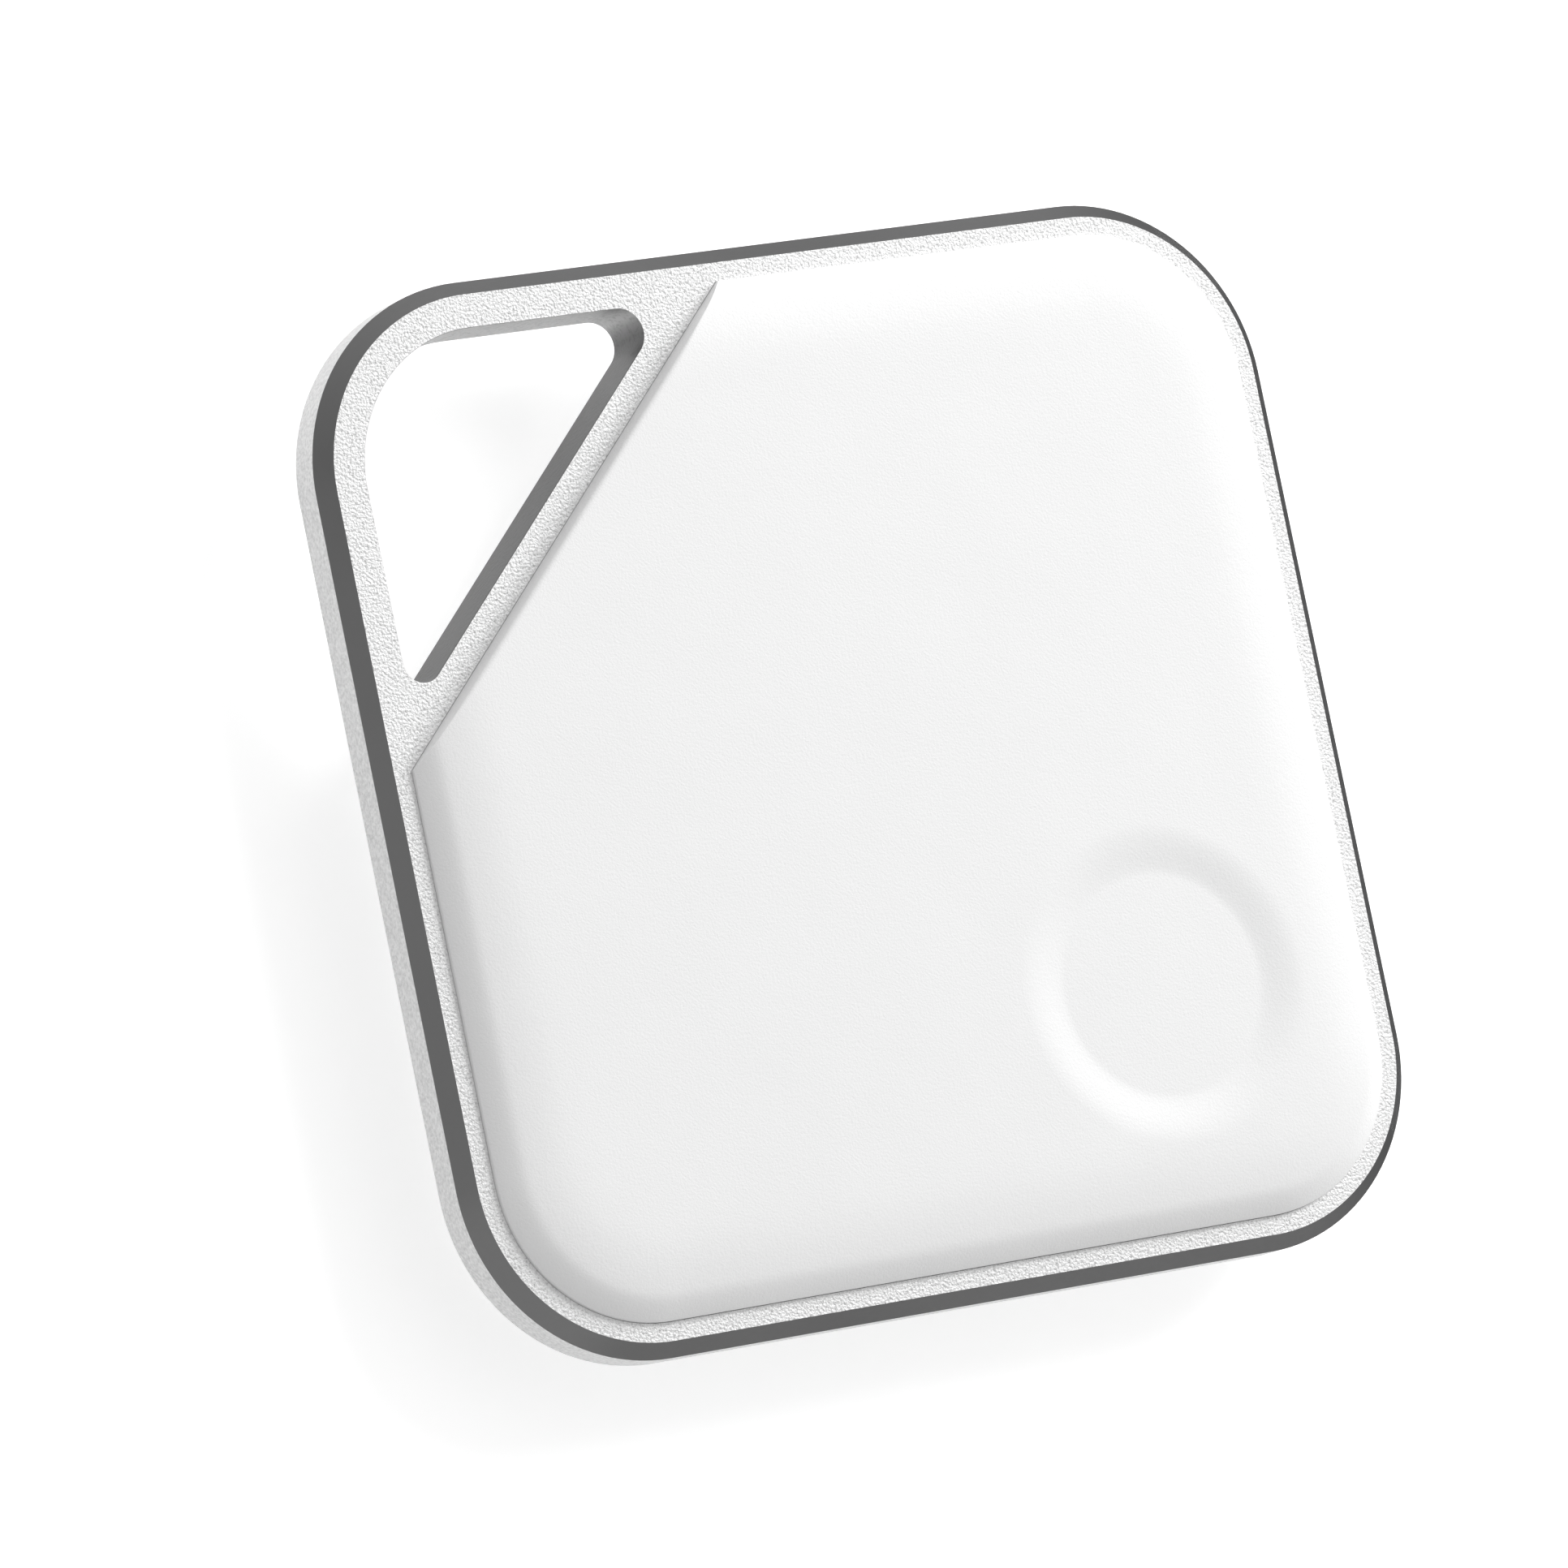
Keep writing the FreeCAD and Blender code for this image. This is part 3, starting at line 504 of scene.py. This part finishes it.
def build_front_cover(plastic):
    """A shell open below, with a round mouth that the button's skin fills."""
    bm = bmesh.new()
    foot = ring(bm, notched(0), COVER_FOOT)
    rows = [foot]
    for step in range(ROLL_STEPS + 1):
        turn = math.pi / 2 * step / ROLL_STEPS
        rows.append(ring(bm, notched(RINGS_IN * (1 - math.cos(turn))), cover_top))
    for first, second in zip(rows, rows[1:]):
        join(bm, first, second)
    mouth = ring(bm, circle(PATCH_RADIUS), cover_top)
    drape(bm, rows[-1], mouth, cover_top)
    inner_foot = ring(bm, notched(SKIRT), COVER_FOOT)
    ceiling = ring(bm, notched(SKIRT), COVER_UNDER)
    throat = ring(bm, circle(PATCH_RADIUS), COVER_UNDER)
    join(bm, foot, inner_foot)
    join(bm, inner_foot, ceiling)
    join(bm, mouth, throat)
    fill(bm, (ceiling, throat))
    piece = make_piece("front_cover_shell", bm, [plastic], sharp=50)
    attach(piece, "case")
    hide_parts("front_cover")


def button_drop(radius):
    """How far the button's skin lies below the cover at a radius: a disc and a soft slope."""
    share = max(0.0, min(1.0, (radius - DISC_RADIUS) / (SLOPE_RADIUS - DISC_RADIUS)))
    share **= SLOPE_BIAS
    return DISC_DROP * (1 - share * share * (3 - 2 * share))


def skin_top(x, y):
    """The height of the button's skin at a place."""
    return cover_top(x, y) - button_drop(math.hypot(x - BUTTON_X, y - BUTTON_Y))


def skin_under(x, y):
    """The height of the skin's underside."""
    return skin_top(x, y) - SKIN


def build_button(plastic):
    """One skin over the button and the slope round it, and the button's solid core under it."""
    radii = [PATCH_RADIUS * step / SKIN_STEPS for step in range(SKIN_STEPS + 1)]
    bm = bmesh.new()
    lathe(bm, [(radius, skin_top) for radius in radii]
          + [(radius, skin_under) for radius in reversed(radii)])
    skin = make_piece("button_skin", bm, [plastic], sharp=50)
    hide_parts("button_web")
    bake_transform(skin)

    top, under = TOP - DISC_DROP - SKIN, BUTTON_UNDER + NIB_LENGTH
    core = DISC_RADIUS - BROKEN
    bm = bmesh.new()
    lathe(bm, [(0, top), (core - BROKEN / 2, top), (core, top - BROKEN / 4),
               (core, under + BROKEN / 4), (core - BROKEN / 4, under), (NIB_RADIUS, under),
               (NIB_RADIUS, BUTTON_UNDER + BROKEN / 4), (NIB_RADIUS - BROKEN / 4, BUTTON_UNDER),
               (0, BUTTON_UNDER)], CORE_STEPS)
    button = make_piece("button_core", bm, [plastic])
    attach(button, "button")
    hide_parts("button_pad")


# ------------------------------------------------------------------ the switch's spring
def build_dome(steel):
    """The spring disc under the plunger, domed as at rest; this mesh is rigid and does not flatten
    when the button is down.
    """
    reach, rise = (DOME_HIGH[0] - DOME_LOW[0]) / 2, DOME_HIGH[2] - DOME_LOW[2]
    upper = []
    for step in range(DOME_STEPS + 1):
        share = step / DOME_STEPS
        upper.append((reach * share, DOME_HIGH[2] - (rise - DOME_THICK) * share * share))
    under = [(radius, height - DOME_THICK) for radius, height in reversed(upper)]
    bm = bmesh.new()
    lathe(bm, upper + under, CORE_STEPS)
    dome = make_piece("dome_spring", bm, [steel], sharp=50)
    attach(dome, "case")
    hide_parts("switch_dome")
    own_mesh(dome)


# ------------------------------------------------------------------ carried-over nodes
def paint_nodes(steel):
    """Give each CAD node that is still shown its own finish."""
    strip = inner_finish("spring_strip", (0.80, 0.72, 0.52), 0.3, 1.0, 0.3 * MM)
    black = inner_finish("black_moulding", (0.03, 0.03, 0.032), 0.55)
    rubber = inner_finish("gasket_foam", (0.05, 0.05, 0.05), 0.85, 0.0, 0.1 * MM, 0.02 * MM)
    ceramic = inner_finish("white_ceramic", (0.82, 0.81, 0.76), 0.5)
    looks = {
        "front_gasket": rubber, "rear_gasket": rubber, "buzzer_ring": rubber,
        "coin_cell_can": steel, "coin_cell_cap": steel, "crystals": steel,
        "coin_cell_gasket": inner_finish("cell_seal", (0.12, 0.12, 0.13), 0.5),
        "coin_cell_core": inner_finish("cell_powder", (0.05, 0.05, 0.05), 0.9),
        "positive_contact": strip, "negative_contact": strip, "buzzer_contacts": strip,
        "circuit_board": inner_finish("solder_mask", (0.01, 0.16, 0.07), 0.35, 0.0, 0.5 * MM),
        "insulating_film": inner_finish("amber_film", (0.60, 0.30, 0.04), 0.25, 0.0, 0.8 * MM),
        "bluetooth_chip": black, "switch_body": black, "chip_resistors": black,
        "boost_inductor": inner_finish("ferrite", (0.10, 0.10, 0.105), 0.6),
        "chip_antenna": ceramic, "switch_plunger": ceramic,
        "chip_capacitors": inner_finish("tan_ceramic", (0.42, 0.27, 0.14), 0.5),
        "buzzer_plate": inner_finish("rolled_brass", (0.78, 0.57, 0.25), 0.3, 1.0, 0.5 * MM),
        "buzzer_ceramic": inner_finish("silvered_ceramic", (0.74, 0.74, 0.72), 0.4, 0.5),
        # Painted shade: the rear cover and battery door get darker copies of the cover's white
        # plastic (0.76 and 0.72 against 0.89), toned down against the strong light on the tag's back.
        "rear_cover": white_plastic("rear_plastic", 0.76),
        "battery_door": white_plastic("door_plastic", 0.72),
    }
    for name, material in looks.items():
        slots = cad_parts[name].material_slots
        for place in slots:
            place.link = "OBJECT"
            place.material = material


# ------------------------------------------------------------------ floor, light and camera
def build_floor():
    """Pale paper that glows a little, so that shadows on it stay soft."""
    bm = bmesh.new()
    bmesh.ops.create_grid(bm, x_segments=8, y_segments=8, size=1.5)
    paper = Finish("floor_paper", 0.9)
    paper.color(paper.ramp(paper.noise(30 * MM), [(0.2, 0.93), (0.8, 0.95)]))
    paper.shader.inputs["Emission Color"].default_value = (1, 1, 1, 1)
    paper.shader.inputs["Emission Strength"].default_value = FLOOR_GLOW
    floor = make_piece("floor", bm, [paper.material])
    floor.location.z = -0.01 * MM


def build_sky():
    """Soft light from all round, brightest towards the key light."""
    world = bpy.data.worlds.new("studio")
    bpy.context.scene.world = world
    world.use_nodes = True
    tree = world.node_tree
    slope = tree.nodes.new("ShaderNodeVectorMath")
    slope.operation = "DOT_PRODUCT"
    slope.inputs[1].default_value = TOWARD_KEY
    tree.links.new(tree.nodes.new("ShaderNodeTexCoord").outputs["Generated"], slope.inputs[0])
    level = tree.nodes.new("ShaderNodeMapRange")
    level.inputs["From Min"].default_value = -1
    level.inputs["To Min"].default_value = DARK_SKY
    level.inputs["To Max"].default_value = BRIGHT_SKY
    tree.links.new(slope.outputs["Value"], level.inputs["Value"])
    tree.links.new(level.outputs["Result"], tree.nodes["Background"].inputs["Strength"])
    tree.nodes["Background"].inputs["Color"].default_value = (1, 1, 1, 1)


def disk_light(name, toward, distance, size, energy):
    """A round area light that way from the tag, facing it."""
    lamp = bpy.data.lights.new(name, "AREA")
    lamp.shape = "DISK"
    lamp.size = size
    lamp.energy = energy
    light = bpy.data.objects.new(name, lamp)
    light.location = toward * distance
    light.rotation_euler = toward.to_track_quat("Z", "Y").to_euler()
    bpy.context.scene.collection.objects.link(light)
    return light


def build_lights():
    """A soft key light, and a pale card for the polished bevel to reflect."""
    disk_light("key", TOWARD_KEY, distance=0.40, size=0.24, energy=1.02)
    card = disk_light("card", TOWARD_CARD, distance=0.30, size=0.60, energy=0.55)
    card.visible_diffuse = False


def build_camera():
    """A long lens on the tag's front from its left, a little below, and rolled a little."""
    turn, rise, roll = (math.radians(angle) for angle in (VIEW_TURN, VIEW_RISE, VIEW_ROLL))
    back = Vector((math.sin(turn) * math.cos(rise), math.sin(rise), math.cos(turn) * math.cos(rise)))
    level = Vector((0, 1, 0)).cross(back).normalized()
    upright = back.cross(level)
    right = level * math.cos(roll) + upright * math.sin(roll)
    up = back.cross(right)
    data = bpy.data.cameras.new("camera")
    data.sensor_width = SENSOR
    data.lens = LENS
    data.clip_start = 0.01
    camera = bpy.data.objects.new("camera", data)
    facing = Matrix((right, up, back)).transposed().to_4x4()
    camera.matrix_world = Matrix.Translation(VIEW_AIM + back * VIEW_DISTANCE) @ facing
    bpy.context.scene.collection.objects.link(camera)
    bpy.context.scene.camera = camera


bpy.context.scene.view_settings.view_transform = "Standard"
build_floor()
build_sky()
build_lights()
build_camera()
build_frame()
cover_plastic = white_plastic()
build_front_cover(cover_plastic)
build_button(cover_plastic)
plated_steel = inner_finish("plated_steel", (0.72, 0.72, 0.71), 0.28, 1.0, 0.4 * MM)
build_dome(plated_steel)
paint_nodes(plated_steel)
